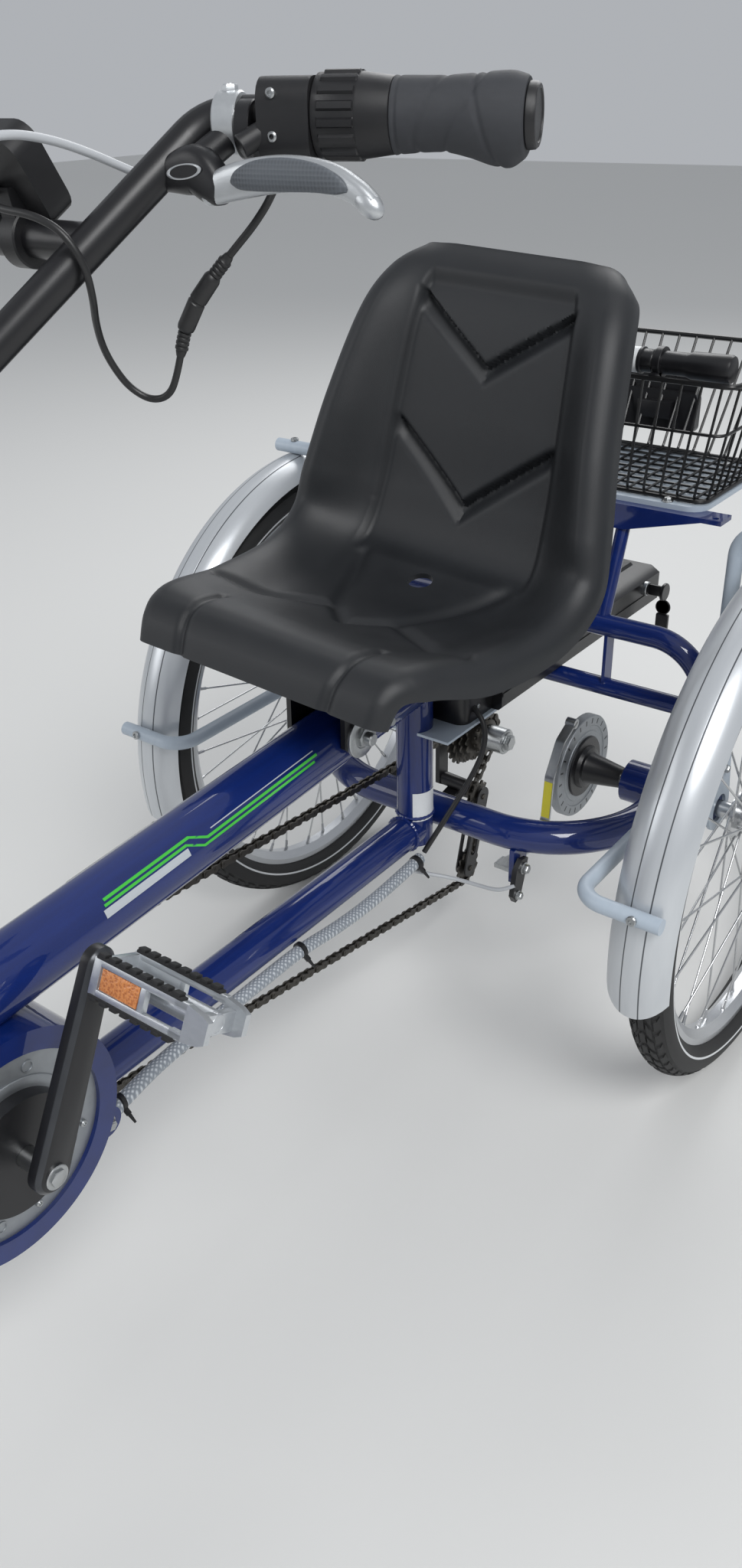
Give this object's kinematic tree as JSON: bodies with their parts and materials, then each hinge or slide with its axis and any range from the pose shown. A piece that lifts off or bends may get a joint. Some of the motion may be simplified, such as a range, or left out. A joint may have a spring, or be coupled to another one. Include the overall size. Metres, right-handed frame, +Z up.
{
  "type": "recumbent trike",
  "caption": "Semi-recumbent pedal trike with a bucket seat, high handlebar, mid-mounted motor, battery, rear basket and three spoked wheels under fenders.",
  "frame": {"origin": "middle of the trike's length and width, on the ground that the tyres stand on", "axes": "+X to the rider's left, +Y from the front wheel towards the basket, +Z up"},
  "size_m": [0.724, 1.8648, 1.0344],
  "materials": {
    "tyre": "black rubber with one white line on each side",
    "rim": "satin silver alloy",
    "spoke": "bright steel",
    "steel": "bright turned steel",
    "frame": "dark blue gloss with fine metal flake",
    "black_paint": "black satin",
    "silver_paint": "silver gloss",
    "light_paint": "light blue-grey satin",
    "black_plastic": "black satin plastic",
    "seat_plastic": "charcoal satin moulded plastic",
    "rubber": "black soft grip rubber",
    "alloy": "silver cast alloy",
    "wire": "black dipped wire"
  },
  "bodies": {
    "chassis": {"bearing_housings": "frame", "motor_shell": "frame", "head_tube": "frame", "upper_tube": "frame", "seat_post": "frame", "lower_tube": "frame", "lower_loop": "frame", "rear_hoop": "frame", "cross_tube": "frame", "motor": "alloy", "motor_cover": "black_plastic", "chain": "steel", "fender_left": "silver_paint", "fender_right": "silver_paint", "stays_left": "light_paint", "stays_right": "light_paint", "battery_tray": "light_paint", "battery": "black_plastic", "battery_block": "black_plastic", "seat": "seat_plastic", "seat_carriage": "black_paint", "rack": "light_paint", "basket": "wire"},
    "steering": {"fork": "frame", "front_axle": "steel", "fender_front": "silver_paint", "handlebar": "black_paint", "grips": "rubber", "display": "black_plastic"},
    "front_wheel": {"tyre_front": "tyre", "rim_front": "rim", "spokes_front": "spoke"},
    "rear_wheel_left": {"tyre_rear_left": "tyre", "rim_rear_left": "rim", "spokes_rear_left": "spoke", "brake_disc": "steel"},
    "rear_wheel_right": {"tyre_rear_right": "tyre", "rim_rear_right": "rim", "spokes_rear_right": "spoke", "cassette": "steel"},
    "crankset": {"cranks": "black_paint", "chain_ring": "black_paint"},
    "pedal_left": {"pedal_left": "alloy"},
    "pedal_right": {"pedal_right": "alloy"}
  },
  "joints": [
    {"name": "steer", "type": "hinge", "parent": "chassis", "child": "steering", "pos_m": [0, -0.64172, 0.23098], "axis": [0, 0.4226, 0.9063], "range_deg": [-35, 35]},
    {"name": "front_wheel_spin", "type": "hinge", "parent": "steering", "child": "front_wheel", "pos_m": [0, -0.6825, 0.25], "axis": [1, 0, 0], "continuous": true},
    {"name": "rear_wheel_left_spin", "type": "hinge", "parent": "chassis", "child": "rear_wheel_left", "pos_m": [0.319, 0.6075, 0.3005], "axis": [1, 0, 0], "continuous": true},
    {"name": "rear_wheel_right_spin", "type": "hinge", "parent": "chassis", "child": "rear_wheel_right", "pos_m": [-0.319, 0.6075, 0.3005], "axis": [1, 0, 0], "continuous": true},
    {"name": "crank_spin", "type": "hinge", "parent": "chassis", "child": "crankset", "pos_m": [0, -0.2085, 0.32], "axis": [1, 0, 0], "continuous": true},
    {"name": "pedal_left_spin", "type": "hinge", "parent": "crankset", "child": "pedal_left", "pos_m": [0.15, -0.13265, 0.47214], "axis": [1, 0, 0], "continuous": true},
    {"name": "pedal_right_spin", "type": "hinge", "parent": "crankset", "child": "pedal_right", "pos_m": [-0.15, -0.28435, 0.16786], "axis": [1, 0, 0], "continuous": true}
  ]
}
